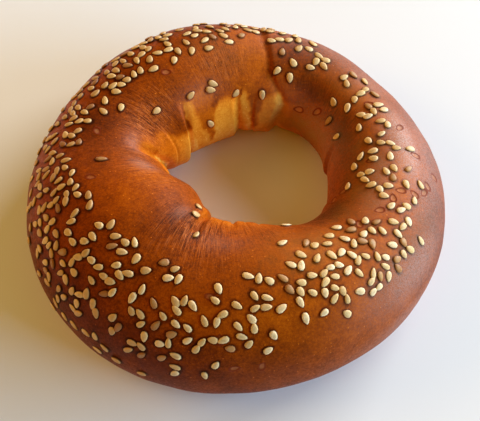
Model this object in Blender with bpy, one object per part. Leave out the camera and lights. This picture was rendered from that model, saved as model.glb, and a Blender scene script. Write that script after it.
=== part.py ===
"""A bublik: a chewy ring of boiled and baked dough, rolled from one rope whose ends are pressed
together at the back, with an uneven hole, a flat base and sesame seeds baked into its crust.

Units are metres and +Z is up. The origin is on the base, under the middle of the ring, -Y is the
front and the seam is at the back. A place on the crust is given by two angles in degrees:
around, in plan from +X towards +Y, and across, over the dough: 0 is the outer side, 90 the top,
180 the wall of the hole and 270 the base.
"""

import math
import random

import bmesh
import bpy
import numpy as np
from mathutils import Matrix, Vector

MM = 0.001

# The ring, seen from above
OUTER_RADIUS = 61.7 * MM
HOLE_RADIUS = 21.9 * MM
# Swells of each outline: how many go round, how high, and the direction of a crest in degrees.
# The single swell of the hole is what sets it off centre, so the dough is thick at the front.
OUTER_SWELLS = ((2, 0.4 * MM, 60), (3, 0.8 * MM, 344))
HOLE_SWELLS = ((1, 9.9 * MM, 55), (2, 0.8 * MM, 21), (3, 0.9 * MM, 41), (4, 1.5 * MM, 335))

# The dough's section
HEIGHT_SHARE = 0.80       # height over width
BELLY_SHARE = 0.42        # height of the widest place over the whole height
FLAT_SHARE = 0.08         # share of the height that the baking sheet flattened
SIDE_POWER = 0.95         # under 1 makes the sides fuller than an ellipse
TOP_POWER = 0.98
BASE_POWER = 0.82

# Folds: the path as (across, around) points; how deep; how wide, in degrees round the ring; how
# far one side stands over the other; and how far round the ring that lip reaches, towards larger
# angles where the number is positive.
FOLDS = {
    "seam": (((40, 84), (70, 81), (92, 78), (114, 75), (133, 71), (165, 66)),
             0.2 * MM, 1.6, 0.8 * MM, -15),
    "seam_foot": (((116, 73), (150, 65), (185, 68), (240, 69)), 0.6 * MM, 2.2, 1.8 * MM, 16),
    "hole_corner": (((110, 167), (142, 162), (186, 148), (240, 146)), 2.2 * MM, 4.0, 1.0 * MM, 14),
    "lobe_edge": (((126, 122), (160, 125), (240, 127)), 0.8 * MM, 2.4, 1.8 * MM, 13),
    "long_pleat": (((130, 90), (180, 88), (240, 88)), 0.6 * MM, 2.0, 1.2 * MM, 26),
    "front_notch": (((96, 249), (135, 245), (220, 240)), 1.5 * MM, 3.2, 0.8 * MM, -12),
    "rim_pleat": (((122, 269), (160, 268), (215, 267)), 0.6 * MM, 2.6, 0.4 * MM, 9),
    "right_pleat": (((126, 290), (160, 290), (210, 290)), 0.4 * MM, 2.6, 0.3 * MM, -9),
}
FOLD_FADE = 26.0          # degrees of across over which a fold runs out at its ends

# Swellings and hollows: around, across, spread around, spread across, height
MOUNDS = {
    "shoulder": (60, 60, 16, 38, 1.9 * MM),
    "pale_lobe": (144, 160, 10, 24, 1.4 * MM),
    "wall_bulge": (79, 176, 8, 22, 1.5 * MM),
    "overlap_lobe": (192, 152, 22, 28, 1.7 * MM),
    "brown_dimple": (55, 119, 9, 15, -0.9 * MM),
    "brown_hollow": (36, 132, 10, 18, -0.7 * MM),
}

# Puts the whole ring, with its seeds, in the middle of its box
MIDDLE_X = -0.5 * MM
MIDDLE_Y = -0.6 * MM

# Mesh of the crust: closer stations where the folds are
FOLDED_STRETCH = (62, 168)
FOLDED_STEP = 2.7
PLAIN_STEP = 5.6
SECTION_STEPS = 24

# Sesame seeds
SEED_LENGTH = 3.3 * MM
SEED_WIDTH = 2.0 * MM
SEED_HEIGHT = 1.1 * MM
SEED_SUNK = 0.42          # share of a seed's height that is baked into the crust
SEED_SIDES = 6
RANDOM_SEED = 11
CLOSEST = 2.2 * MM        # between the middles of two seeds
FUSED_GAP = 3.6 * MM      # the same between two seeds that are part of the solid
FUSED_COUNT = 190

# How the seeds lie, by around: across in the middle of their band, half its width, seeds a degree
BAND = (
    (0, 100, 40, 0.75), (20, 88, 24, 0.35), (38, 84, 26, 0.75), (52, 86, 14, 0.25),
    (68, 72, 24, 0.5), (85, 66, 26, 0.8), (100, 66, 28, 0.95), (115, 70, 26, 1.3),
    (140, 67, 28, 1.4), (160, 59, 26, 1.4), (180, 54, 28, 1.6), (200, 46, 34, 1.8),
    (215, 42, 40, 1.9), (230, 43, 46, 1.9), (245, 48, 46, 1.2), (258, 44, 34, 0.9),
    (272, 57, 26, 1.0), (288, 72, 28, 1.15), (305, 76, 34, 1.7), (322, 80, 32, 1.7),
    (335, 75, 26, 1.1), (348, 90, 34, 0.6),
)
BAND_SEEDS = 410
# Seeds that lie alone by the hole and the seam: around, across, way the tip points
LONE_SEEDS = (
    (116, 130, 200), (102, 127, 150), (104, 132, 160), (90, 141, 30), (108, 163, 300),
    (76, 142, 100), (149, 98, 20), (138, 124, 350), (183, 93, 80), (241, 128, 60),
    (235, 141, 130), (249, 112, 90), (307, 136, 10), (72, 113, 60), (66, 116, 110),
    (67, 98, 320), (44, 114, 330), (40, 136, 90), (30, 139, 70), (294, 106, 20),
)


def turn(angle, other):
    """The way from one angle to another, in degrees, the short way round."""
    return (angle - other + 180.0) % 360.0 - 180.0


def hill(distance, width):
    """1 in the middle, falling to nothing on both sides."""
    return np.exp(-(distance / width) ** 2)


def ease(value):
    """0 below 0, 1 above 1, and smooth between."""
    share = np.clip(value, 0.0, 1.0)
    return share * share * (3.0 - 2.0 * share)


def outline(radius, swells, around):
    """An uneven circle."""
    total = radius + 0.0 * around
    for count, height, direction in swells:
        total = total + height * np.cos(np.radians(count * (around - direction)))
    return total


def fold_relief(fold, around, across):
    """A crease along a path over the crust, with the crust beside it standing over it."""
    path, depth, width, lip, reach = fold
    marks = [mark for mark, _ in path]
    places = [place for _, place in path]
    aside = turn(around, np.interp(across, marks, places))
    strength = ease((across - marks[0]) / FOLD_FADE) * ease((marks[-1] - across) / FOLD_FADE)
    over = aside * math.copysign(1.0, reach)
    standing = lip * ease(over / (1.5 * width)) * hill(over, reach)
    return strength * (standing - depth * hill(aside, width))


def relief(around, across):
    """How far the crust stands out from the plain ring."""
    total = 0.0 * around * across
    for fold in FOLDS.values():
        total = total + fold_relief(fold, around, across)
    for place, mark, spread, rise, height in MOUNDS.values():
        total = total + height * hill(turn(around, place), spread) * hill(turn(across, mark), rise)
    return total


def crust(around, across):
    """Points of the crust for arrays of the two angles; the last axis is X, Y, Z."""
    across = across % 360.0
    outer = outline(OUTER_RADIUS, OUTER_SWELLS, around)
    inner = outline(HOLE_RADIUS, HOLE_SWELLS, around)
    half_width = (outer - inner) / 2
    height = HEIGHT_SHARE * 2 * half_width
    flat = FLAT_SHARE * height
    belly = BELLY_SHARE * (height + flat)
    crown = (height + flat) - belly

    out = np.cos(np.radians(across))
    up = np.sin(np.radians(across))
    reach = half_width * np.sign(out) * np.abs(out) ** SIDE_POWER
    above = crown * np.abs(up) ** TOP_POWER
    below = -belly * np.abs(up) ** BASE_POWER
    proud = relief(around, across)
    radius = (outer + inner) / 2 + reach + proud * out
    level = belly - flat + np.where(up > 0, above, below) + proud * up
    level = np.maximum(level, 0.0)
    plan = np.radians(around)
    east = radius * np.cos(plan) + MIDDLE_X
    north = radius * np.sin(plan) + MIDDLE_Y
    return np.stack([east, north, level], axis=-1)


def crust_point(around, across):
    """One point of the crust."""
    return Vector(crust(np.array(float(around)), np.array(float(across))))


def crust_axes(around, across, step=0.5):
    """Outward normal at a place on the crust, and the direction round the ring."""
    along = crust_point(around + step, across) - crust_point(around - step, across)
    over = crust_point(around, across + step) - crust_point(around, across - step)
    normal = along.cross(over)
    return normal.normalized(), along.normalized()


def stations():
    """The angles round the ring at which the crust has a section."""
    start, stop = FOLDED_STRETCH
    folded = round((stop - start) / FOLDED_STEP)
    plain = round((360 - (stop - start)) / PLAIN_STEP)
    close = [start + (stop - start) * i / folded for i in range(folded)]
    wide = [stop + (360 - (stop - start)) * i / plain for i in range(plain)]
    return close + wide


def band(around, column):
    """One of the band's values at that angle round the ring."""
    return np.interp(around, [row[0] for row in BAND], [row[column] for row in BAND], period=360)


def drawn_seeds():
    """Places of all the seeds in the order they fell: around, across, way the tip points."""
    draw = random.Random(RANDOM_SEED)
    fallen = list(LONE_SEEDS)
    points = [crust_point(place, mark) for place, mark, _ in fallen]
    crowding = [band(degree, 3) for degree in range(360)]
    for _ in range(BAND_SEEDS):
        for _ in range(60):
            around = draw.choices(range(360), crowding)[0] + draw.random()
            across = band(around, 1) + band(around, 2) * draw.triangular(-1.1, 1.1)
            tip = draw.uniform(0, 360)
            point = crust_point(around, across)
            if all((point - other).length > CLOSEST for other in points):
                fallen.append((around, across, tip))
                points.append(point)
                break
    return fallen


def fused_seeds():
    """The seeds that are part of the solid: spread evenly, and each clear of the others."""
    taken = []
    points = []
    for around, across, tip in drawn_seeds():
        point = crust_point(around, across)
        if all((point - other).length > FUSED_GAP for other in points):
            taken.append((around, across, tip))
            points.append(point)
        if len(taken) == FUSED_COUNT:
            break
    return taken


def seed_mesh():
    """A flat teardrop, its tip at +X, its lower part to be sunk in the crust."""
    mesh = bpy.data.meshes.new("seed")
    bm = bmesh.new()
    rim = []
    for index in range(SEED_SIDES):
        angle = 2 * math.pi * (index + 0.5) / SEED_SIDES
        narrowing = 1.0 - 0.35 * math.cos(angle)
        x = SEED_LENGTH / 2 * math.cos(angle)
        y = SEED_WIDTH / 2 * math.sin(angle) * narrowing
        rim.append(bm.verts.new((x, y, 0.0)))
    front, back = [bm.verts.new((x * SEED_LENGTH, 0.0, SEED_HEIGHT / 2)) for x in (0.14, -0.2)]
    root = bm.verts.new((0.0, 0.0, -SEED_HEIGHT))
    quarter = SEED_SIDES // 4
    for index in range(SEED_SIDES):
        following = rim[(index + 1) % SEED_SIDES]
        peak = back if quarter <= index < SEED_SIDES - 1 - quarter else front
        bm.faces.new((following, rim[index], root))
        bm.faces.new((rim[index], following, peak))
    bm.faces.new((rim[quarter], back, front))
    bm.faces.new((rim[SEED_SIDES - 1 - quarter], front, back))
    bm.to_mesh(mesh)
    bm.free()
    return mesh


def crust_object():
    """The ring of dough, closed and with its faces outwards."""
    mesh = bpy.data.meshes.new("bublik")
    bm = bmesh.new()
    sections = []
    for around in stations():
        across = 360.0 * np.arange(SECTION_STEPS) / SECTION_STEPS
        points = crust(np.full(SECTION_STEPS, around), across)
        sections.append([bm.verts.new(point) for point in points])
    for here, there in zip(sections, sections[1:] + sections[:1]):
        for index in range(SECTION_STEPS):
            after = (index + 1) % SECTION_STEPS
            bm.faces.new((here[index], there[index], there[after], here[after]))
    bmesh.ops.triangulate(bm, faces=bm.faces[:], quad_method="SHORT_EDGE")
    bm.to_mesh(mesh)
    bm.free()
    ring = bpy.data.objects.new("bublik", mesh)
    bpy.context.scene.collection.objects.link(ring)
    return ring


def seed_collection():
    """One seed object for each fused seed."""
    group = bpy.data.collections.new("seeds")
    bpy.context.scene.collection.children.link(group)
    mesh = seed_mesh()
    for around, across, tip in fused_seeds():
        normal, along = crust_axes(around, across)
        heading = Matrix.Rotation(math.radians(tip), 3, normal) @ along
        side = normal.cross(heading)
        axes = Matrix((heading, side, normal)).transposed().to_4x4()
        seed = bpy.data.objects.new("seed", mesh)
        lift = SEED_HEIGHT * (0.5 - SEED_SUNK)
        seed.matrix_world = Matrix.Translation(crust_point(around, across) + normal * lift) @ axes
        group.objects.link(seed)
    return group


def baked_crust():
    """Browned, egg-washed crust."""
    material = bpy.data.materials.new("baked_crust")
    material.use_nodes = True
    shader = material.node_tree.nodes["Principled BSDF"]
    shader.inputs["Base Color"].default_value = (0.28, 0.085, 0.018, 1.0)
    shader.inputs["Roughness"].default_value = 0.42
    shader.inputs["Metallic"].default_value = 0.0
    return material


def fuse(ring, group):
    """Bakes the seeds into the crust, as one solid."""
    union = ring.modifiers.new("seeds", "BOOLEAN")
    union.operation = "UNION"
    union.operand_type = "COLLECTION"
    union.collection = group
    union.solver = "MANIFOLD"
    bpy.context.view_layer.objects.active = ring
    bpy.ops.object.modifier_apply(modifier=union.name)
    for seed in list(group.objects):
        bpy.data.objects.remove(seed)
    bpy.data.collections.remove(group)


def main():
    for thing in list(bpy.data.objects):
        bpy.data.objects.remove(thing)
    ring = crust_object()
    ring.data.materials.append(baked_crust())
    fuse(ring, seed_collection())
    ring.data.shade_smooth()
    ring.data.set_sharp_from_angle(angle=math.radians(35))


main()
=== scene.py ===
"""Looks of the bublik: an egg-washed crust, browned unevenly and wrinkled round its hole, with
sesame seeds baked into it, lying on a pale table in soft window light.

Units are metres and +Z is up. A place on the crust is given by two angles in degrees: around, in
plan from +X towards +Y, and across, over the dough: 0 is the outer side, 90 the top, 180 the wall
of the hole and 270 the base. A small set of sizes and swells gives the ring its form, and lists of
folds, mounds and browned places name what is uneven about it.
"""

import math
import random

import bpy
import numpy as np
from bpy.props import FloatProperty, FloatVectorProperty, IntProperty, PointerProperty
from mathutils import Matrix, Vector


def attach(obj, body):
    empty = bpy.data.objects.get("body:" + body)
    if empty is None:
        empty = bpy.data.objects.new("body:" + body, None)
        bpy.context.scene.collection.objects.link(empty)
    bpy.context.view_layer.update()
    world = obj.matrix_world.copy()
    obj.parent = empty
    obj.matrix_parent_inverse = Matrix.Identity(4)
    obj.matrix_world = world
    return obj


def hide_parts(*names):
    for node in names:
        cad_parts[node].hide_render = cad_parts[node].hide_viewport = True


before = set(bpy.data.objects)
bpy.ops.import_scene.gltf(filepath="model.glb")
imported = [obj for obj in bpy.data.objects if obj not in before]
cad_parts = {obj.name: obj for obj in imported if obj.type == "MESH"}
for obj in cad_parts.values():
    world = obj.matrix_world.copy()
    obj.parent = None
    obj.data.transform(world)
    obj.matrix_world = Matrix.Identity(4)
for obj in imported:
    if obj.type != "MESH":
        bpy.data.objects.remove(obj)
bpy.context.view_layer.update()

bl_info = {
    "name": "Bublik",
    "version": (1, 0, 0),
    "blender": (4, 5, 0),
    "location": "3D View > Sidebar > Bublik",
    "description": "A baked ring of bread with a seam, folds and sesame seeds, on a pale table",
    "category": "Add Mesh",
}

MM = 0.001

# Swells of the two outlines: how many go round, how high, and the direction of a crest.
OUTER_SWELLS = ((2, 0.4 * MM, 60), (3, 0.8 * MM, 344))
HOLE_SWELLS = ((1, 9.9 * MM, 55), (2, 0.8 * MM, 21), (3, 0.9 * MM, 41), (4, 1.5 * MM, 335))

# The dough's section
BELLY_SHARE = 0.42        # height of the widest place over the whole height
FLAT_SHARE = 0.08         # share of the height that the baking sheet flattened
SIDE_POWER = 0.95         # under 1 makes the sides fuller than an ellipse
TOP_POWER = 0.98
BASE_POWER = 0.82

# Folds: the path as (across, around) points; how deep; how wide, in degrees round the ring; how
# far one side stands over the other; and how far round the ring that lip reaches, towards larger
# angles where the number is positive.
FOLDS = {
    "seam": (((40, 84), (70, 81), (92, 78), (114, 75), (133, 71), (165, 66)),
             0.2 * MM, 1.6, 0.8 * MM, -15),
    "seam_foot": (((116, 73), (150, 65), (185, 68), (240, 69)), 0.6 * MM, 2.2, 1.8 * MM, 16),
    "hole_corner": (((110, 167), (142, 162), (186, 148), (240, 146)), 2.2 * MM, 4.0, 1.0 * MM, 14),
    "lobe_edge": (((126, 122), (160, 125), (240, 127)), 0.8 * MM, 2.4, 1.8 * MM, 13),
    "long_pleat": (((130, 90), (180, 88), (240, 88)), 0.6 * MM, 2.0, 1.2 * MM, 26),
    "front_notch": (((96, 249), (135, 245), (220, 240)), 1.5 * MM, 3.2, 0.8 * MM, -12),
    "rim_pleat": (((122, 269), (160, 268), (215, 267)), 0.6 * MM, 2.6, 0.4 * MM, 9),
    "right_pleat": (((126, 290), (160, 290), (210, 290)), 0.4 * MM, 2.6, 0.3 * MM, -9),
}
# Finer creases that only the crust's skin has
CREASES = {
    "corner_wrinkle_a": (((104, 172), (135, 170), (178, 160)), 0.30 * MM, 0.9, 0.2 * MM, 3),
    "corner_wrinkle_b": (((112, 180), (140, 178), (180, 170)), 0.20 * MM, 0.9, 0.1 * MM, 3),
    "left_wrinkle": (((110, 206), (140, 204), (176, 200)), 0.16 * MM, 1.0, 0.1 * MM, -3),
    "notch_wrinkle_a": (((96, 238), (120, 237), (160, 234)), 0.20 * MM, 1.0, 0.15 * MM, 3),
    "notch_wrinkle_b": (((98, 255), (120, 253), (160, 250)), 0.22 * MM, 1.0, 0.2 * MM, -3),
    "rim_wrinkle_a": (((112, 260), (134, 259), (170, 258)), 0.25 * MM, 0.9, 0.15 * MM, 2),
    "rim_wrinkle_b": (((116, 279), (138, 279), (170, 279)), 0.25 * MM, 0.9, 0.15 * MM, -2),
    "lobe_wrinkle": (((134, 142), (160, 141), (196, 140)), 0.25 * MM, 1.3, 0.2 * MM, 4),
    "wall_pleat": (((138, 80), (170, 80), (220, 81)), 0.35 * MM, 1.3, 0.3 * MM, -4),
    "right_wall_fold": (((134, 28), (165, 25), (214, 22)), 0.45 * MM, 1.5, 0.9 * MM, 7),
    "right_wall_pleat": (((140, 352), (170, 352), (214, 350)), 0.35 * MM, 1.4, 0.5 * MM, -6),
}
FOLD_FADE = 26.0          # degrees of across over which a fold runs out at its ends

# Swellings and hollows: around, across, spread around, spread across, height
MOUNDS = {
    "shoulder": (60, 60, 16, 38, 1.9 * MM),
    "pale_lobe": (144, 160, 10, 24, 1.4 * MM),
    "wall_bulge": (79, 176, 8, 22, 1.5 * MM),
    "overlap_lobe": (192, 152, 22, 28, 1.7 * MM),
    "brown_dimple": (55, 119, 9, 15, -0.9 * MM),
    "brown_hollow": (36, 132, 10, 18, -0.7 * MM),
}

# Shift that puts the whole ring, with its seeds, in the middle of its box
MIDDLE_X = -0.5 * MM
MIDDLE_Y = -0.6 * MM

# Mesh of the crust: closer stations where the folds are, and on the side that is seen
FOLDED_STRETCH = (62, 168)
FOLDED_STEP = 0.40
PLAIN_STEP = 0.72
SEEN_SIDE = (-35, 215)
SEEN_STEP = 1.85
BASE_STEP = 5.2

# How brown the crust is over the dough, from 0, raw, to 1, burnt: (across, browning)
BROWNING = ((-90, 0.50), (-40, 0.58), (-12, 0.75), (12, 0.79), (60, 0.74), (95, 0.70),
            (120, 0.70), (150, 0.71), (180, 0.65), (225, 0.45), (270, 0.50))
# Places browned more or less than that, and some darkened as painted shade: around, across, spread
# around, spread across, how much
PATCHES = {
    "front_left_flank": (226, 30, 34, 30, 0.11),
    "left_top": (164, 88, 22, 24, 0.09),
    "right_front": (318, 78, 30, 34, -0.09),
    "right_side": (348, 46, 18, 20, 0.08),
    "right_front_low": (304, 26, 22, 26, -0.08),
    "right_back": (8, 72, 26, 18, -0.10),
    "right_crown": (355, 87, 12, 14, -0.14),
    "right_shoulder": (34, 84, 13, 18, -0.12),
    "left_shoulder": (158, 95, 14, 20, 0.06),
    "knuckle": (68, 86, 8, 24, 0.08),
    # dimple and hollow: painted shade, darker in the two hollows of the crust
    "dimple": (54, 119, 8, 13, 0.16),
    "hollow": (28, 126, 16, 18, 0.12),
    "right_rim": (332, 132, 14, 18, 0.18),
    "seam_stretch": (88, 104, 9, 36, -0.03),
    "seam_top": (80, 58, 6, 15, -0.20),
    "left_lobe": (232, 113, 18, 20, 0.11),
    "left_crown": (196, 122, 13, 18, -0.10),
    "left_side": (186, 40, 34, 22, -0.08),
    "corner": (166, 134, 10, 18, -0.05),
    "front_crown": (264, 54, 32, 16, -0.14),
    "seam_end": (74, 130, 14, 16, -0.08),
    "left_back": (150, 52, 18, 18, -0.10),
    "wall_left": (140, 158, 8, 12, 0.10),
    "near_rim": (266, 138, 30, 18, -0.17),
    "rim_edge": (268, 148, 30, 12, -0.16),
    "corner_light": (160, 138, 6, 14, -0.24),
    "left_swell": (209, 104, 14, 18, -0.07),
    "right_low_flank": (318, 6, 18, 18, -0.08),
    # inner_shade: painted shade along the inner side of the right crown
    "inner_shade": (2, 132, 26, 12, 0.05),
}
# Painted sheen and highlights, a pale pinkish grey where the glaze mirrors the windows: around, across,
# spread around, spread across, how strongly
PAINTED_SHEEN = {
    "right_shine": (12, 72, 20, 17, 1.0),
    "right_flank": (4, 56, 32, 32, 0.45),
    "right_front": (330, 38, 20, 22, 0.50),
    "back_right": (40, 62, 12, 22, 0.42),
    "seam_side": (62, 58, 22, 26, 0.30),
    "right_top": (354, 94, 16, 16, 0.4),
    "crown_shine": (165, 121, 7, 8, 0.26),
    "lobe_shine": (185, 122, 7, 9, 0.36),
    "wrinkle_shine": (112, 132, 14, 12, 0.14),
    "right_low_flank": (322, 0, 14, 16, 0.28),
    "notch_shine": (234, 122, 5, 9, 0.20),
    "near_shine": (263, 109, 12, 7, 0.12),
    "right_wall": (34, 152, 30, 28, 0.30),
}
# Where the crust is golden rather than red-brown, in the same way
GOLDEN = {
    "front_right": (308, 96, 28, 24, 0.50),
    "right_rim": (0, 112, 34, 28, 0.60),
    "knuckle": (40, 96, 20, 30, 0.45),
    "right_wall": (52, 174, 20, 28, 1.4),
    "right_low": (330, 60, 24, 30, 0.28),
    "top": (92, 92, 20, 30, 0.2),
}
# The wall of the hole browned less: around, from which across on, and how brown it is there
WALL = ((0, 172, 0.66), (20, 164, 0.78), (34, 152, 0.76), (50, 147, 0.72), (60, 143, 0.50),
        (66, 137, 0.24), (72, 135, 0.30), (76, 140, 0.34), (82, 140, 0.24), (86, 139, 0.22),
        (90, 139, 0.30), (100, 141, 0.28), (104, 150, 0.28), (113, 158, 0.30), (122, 159, 0.26),
        (128, 153, 0.26), (140, 144, 0.52), (149, 138, 0.52), (153, 136, 0.38), (158, 132, 0.42),
        (168, 142, 0.50), (185, 160, 0.54), (215, 166, 0.54), (245, 158, 0.52), (275, 156, 0.50),
        (310, 168, 0.55))
WALL_SOFTNESS = 9.0       # degrees of across over which it turns paler
WALL_END = 262.0          # across, where the base begins
WALL_END_SOFTNESS = 30.0
# The wall gets paler downwards, and its second step is painted light along its foot by the table: from
# which across on, over how many degrees, and by how much
WALL_PALER = ((150, 30, 0.12), (198, 12, 0.18))
# Waves of its ragged edge: how many go round, how far in degrees, and where they start
WALL_RAGGED = ((17, 2.5, 0), (29, 2.0, 60))
# Stripes: the path as (across, around, half width) points; how brown it is there; and over how
# many degrees it turns into the rest, towards smaller and towards larger angles
STRIPES = {
    "orange_side": (((128, 119, 4), (150, 118.5, 4.5), (170, 117, 4), (200, 115, 2)), 0.30, 6, 1.2),
    "brown_tongue": (((122, 110, 8), (150, 110, 5.5), (162, 109.5, 4), (174, 108, 2.4),
                      (190, 107, 0.6)), 0.56, 3, 5),
    "amber_stripe": (((130, 89, 1.3), (160, 88.5, 1.2), (214, 87.5, 1.0)), 0.31, 0.7, 2),
    "pale_stripe": (((134, 85.5, 1.3), (165, 85.5, 1.4), (214, 84.5, 1.8)), 0.20, 2, 1.2),
    "brown_patch": (((126, 79.5, 4.5), (150, 79, 3.6), (172, 78.5, 2.0), (186, 78, 0.5)), 0.64, 3, 3),
    "yellow_ridge": (((132, 69.5, 1.2), (150, 66.8, 1.8), (168, 68, 1.6), (190, 70, 1.0)), 0.15, 2, 2),
    # lobe_shade: painted shade on the pale lobe
    "lobe_shade": (((134, 150, 8), (148, 150, 7), (158, 149, 3)), 0.55, 4, 7),
    "crease_light": (((146, 159, 0.7), (160, 156, 0.9), (180, 148, 0.8), (200, 147, 0.6)), 0.10, 1, 1),
    "seam_strip": (((40, 89, 6), (66, 87.5, 6), (92, 83.5, 5.5), (114, 80.5, 5), (126, 79, 3)),
                   0.60, 1.0, 9),
}
STRIPE_STARTS = 10.0      # degrees of across over which a stripe comes up, and runs out
STRIPE_ENDS = 8.0
STRIPE_RAGGED = ((19, 0.5, 0), (43, 0.4, 70))  # waves of its course, said in the same way

# Where fine lines run towards the hole: around, across, spread around, spread across, how strongly
WRINKLED = {
    "left_crease": (144, 123, 19, 21, 1.0),
    "seam_strip": (98, 106, 16, 30, 0.5),
    "left_lobe": (186, 124, 24, 22, 0.8),
    "notch": (249, 117, 22, 25, 1.0),
    "front_rim": (276, 128, 26, 20, 0.55),
    "right_rim": (320, 130, 30, 18, 0.4),
    "back_right": (38, 116, 26, 26, 0.3),
    "pale_wall": (108, 164, 26, 16, 0.12),
}
FREE_SIDE = (-60, 235)    # across, where the dough didn't lie on the baking sheet
FREE_FADE = 30.0
# The grain: creases towards the hole, 0.8 mm apart on the crown of the ring
GRAIN_SLANT = 0.10        # degrees round the ring that a crease leans for a degree of across
GRAIN_BREAKS = 0.028      # how soon a crease breaks off, going across
RIDGE_WIDTH = 2.0         # of a raised ridge, over the distance between two creases
LINE_WIDTH = 0.40         # of a fine line, in the same way

# Steps of browning and the colours they have
CRUST_STOPS = ((0.0, "raw"), (0.17, "straw"), (0.34, "amber"), (0.50, "russet"), (0.66, "brown"),
               (0.82, "dark"), (1.0, "burnt"))

# Sesame seeds
SEEDS_LONG = 3.3 * MM
SEEDS_WIDE = 2.0 * MM
SEED_SUNK = 0.42          # share of a seed's height that is baked into the crust
SEED_TAPER = 0.30         # how much narrower its foot is at the tip, and wider at the round end
SEED_SMALLEST = (0.84, 0.84, 0.85)  # length, width and height over those of a mean seed
SEED_LARGEST = (1.08, 1.10, 1.15)
CLOSEST = 2.2 * MM        # between the middles of two seeds
TRIES = 60                # to find a free place for a seed
SHADED_SEED_SIDE = 160        # around, where the seeds are painted darkest, as shade on the side away from the windows
TINT_BY_CHANCE = 0.6      # share of a seed's colour that is chance; the rest is painted shade, darker towards that side

# How the seeds lie, by around: across in the middle of their band, half its width, seeds a degree
BAND = (
    (0, 100, 40, 0.75), (20, 88, 24, 0.35), (38, 84, 26, 0.75), (52, 86, 14, 0.25),
    (68, 72, 24, 0.5), (85, 66, 26, 0.8), (100, 66, 28, 0.95), (115, 70, 26, 1.3),
    (140, 67, 28, 1.4), (160, 59, 26, 1.4), (180, 54, 28, 1.6), (200, 46, 34, 1.8),
    (215, 42, 40, 1.9), (230, 43, 46, 1.9), (245, 48, 46, 1.2), (258, 44, 34, 0.9),
    (272, 57, 26, 1.0), (288, 72, 28, 1.15), (305, 76, 34, 1.7), (322, 80, 32, 1.7),
    (335, 75, 26, 1.1), (348, 90, 34, 0.6),
)
BAND_SEEDS = 410
BAND_REACH = 1.1          # how far past the band's edges a few seeds fell
# Seeds that lie alone by the hole and the seam: around, across, way the tip points
LONE_SEEDS = (
    (116, 130, 200), (102, 127, 150), (104, 132, 160), (90, 141, 30), (108, 163, 300),
    (76, 142, 100), (149, 98, 20), (138, 124, 350), (183, 93, 80), (241, 128, 60),
    (235, 141, 130), (249, 112, 90), (307, 136, 10), (72, 113, 60), (66, 116, 110),
    (67, 98, 320), (44, 114, 330), (40, 136, 90), (30, 139, 70), (294, 106, 20),
)
# Prints that fallen seeds left in the crust, in the same way
PRINTS = (
    (165, 89, 20), (122, 101, 150), (193, 84, 60), (262, 71, 170), (266, 44, 90), (270, 22, 10),
    (277, 22, 80), (57, 149, 20), (33, 85, 40), (19, 70, 130), (7, 64, 70), (1, 42, 60),
    (347, 86, 20), (351, 81, 100), (351, 68, 60), (353, 58, 150), (356, 54, 30), (6, 108, 90),
    (343, 78, 10), (340, 92, 130), (330, 98, 50), (48, 138, 60), (352, 137, 100), (348, 146, 20),
)
PRINT_RIM = 0.16 * MM     # height of a print's rim, and its width, where 1 is half a seed
PRINT_RIM_WIDTH = 0.28
PRINT_DEPTH = 0.22 * MM   # how far its floor sinks in, and the hollow's width in the same way
PRINT_WIDTH = 0.7
SEED_REACH = 5.0 * MM     # further off, a seed or a print changes nothing
NOT_NEAR = 3.0            # the distance that such points are given, where 1 is a seed's edge

# Lights: azimuth and elevation in degrees; distance, width and height in metres; colour; and
# whether the crust mirrors it
LIGHTS = {
    "far_window": (40, 21, 1.2, 0.9, 0.5, "#F3F8FF", True),
    "right_window": (-15, 18, 1.2, 0.9, 0.5, "#A0D0FF", False),
    "sky_above": (-15, 42, 1.2, 0.9, 0.8, "#A8CCFF", False),
    "room_lamp": (172, 32, 0.8, 0.5, 0.4, "#FFD196", False),
}
CLOUDS_A_METRE = 12.0     # on the table
CLOUDED = 0.97            # the darkest of them over the table's own colour
CAMERA_AIM = (0.9 * MM, -4.8 * MM, 12.0 * MM)
SENSOR_WIDTH = 36.0       # in millimetres, as Blender counts it
NEAR_CLIP = 10 * MM


def turn(angle, other):
    """The way from one angle to another, in degrees, the short way round."""
    return (angle - other + 180.0) % 360.0 - 180.0


def hill(distance, width):
    """1 in the middle, falling to nothing on both sides."""
    return np.exp(-(distance / width) ** 2)


def ease(value):
    """0 below 0, 1 above 1, and smooth between."""
    share = np.clip(value, 0.0, 1.0)
    return share * share * (3.0 - 2.0 * share)


def linear(code):
    """An sRGB hex colour as linear red, green and blue."""
    parts = [int(code[i:i + 2], 16) / 255 for i in (1, 3, 5)]
    return tuple(p / 12.92 if p <= 0.04045 else ((p + 0.055) / 1.055) ** 2.4 for p in parts)


def outline(radius, swells, around):
    """An uneven circle."""
    total = radius + 0.0 * around
    for count, height, direction in swells:
        total = total + height * np.cos(np.radians(count * (around - direction)))
    return total


def fold_relief(fold, around, across):
    """A crease along a path over the crust, with the crust beside it standing over it."""
    path, depth, width, lip, reach = fold
    marks = [mark for mark, _ in path]
    places = [place for _, place in path]
    aside = turn(around, np.interp(across, marks, places))
    strength = ease((across - marks[0]) / FOLD_FADE) * ease((marks[-1] - across) / FOLD_FADE)
    over = aside * math.copysign(1.0, reach)
    standing = lip * ease(over / (1.5 * width)) * hill(over, reach)
    return strength * (standing - depth * hill(aside, width))


def relief(around, across):
    """How far the crust stands out from the plain ring."""
    total = 0.0 * around * across
    for fold in FOLDS.values():
        total = total + fold_relief(fold, around, across)
    for place, mark, spread, rise, height in MOUNDS.values():
        total = total + height * hill(turn(around, place), spread) * hill(turn(across, mark), rise)
    return total


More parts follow.
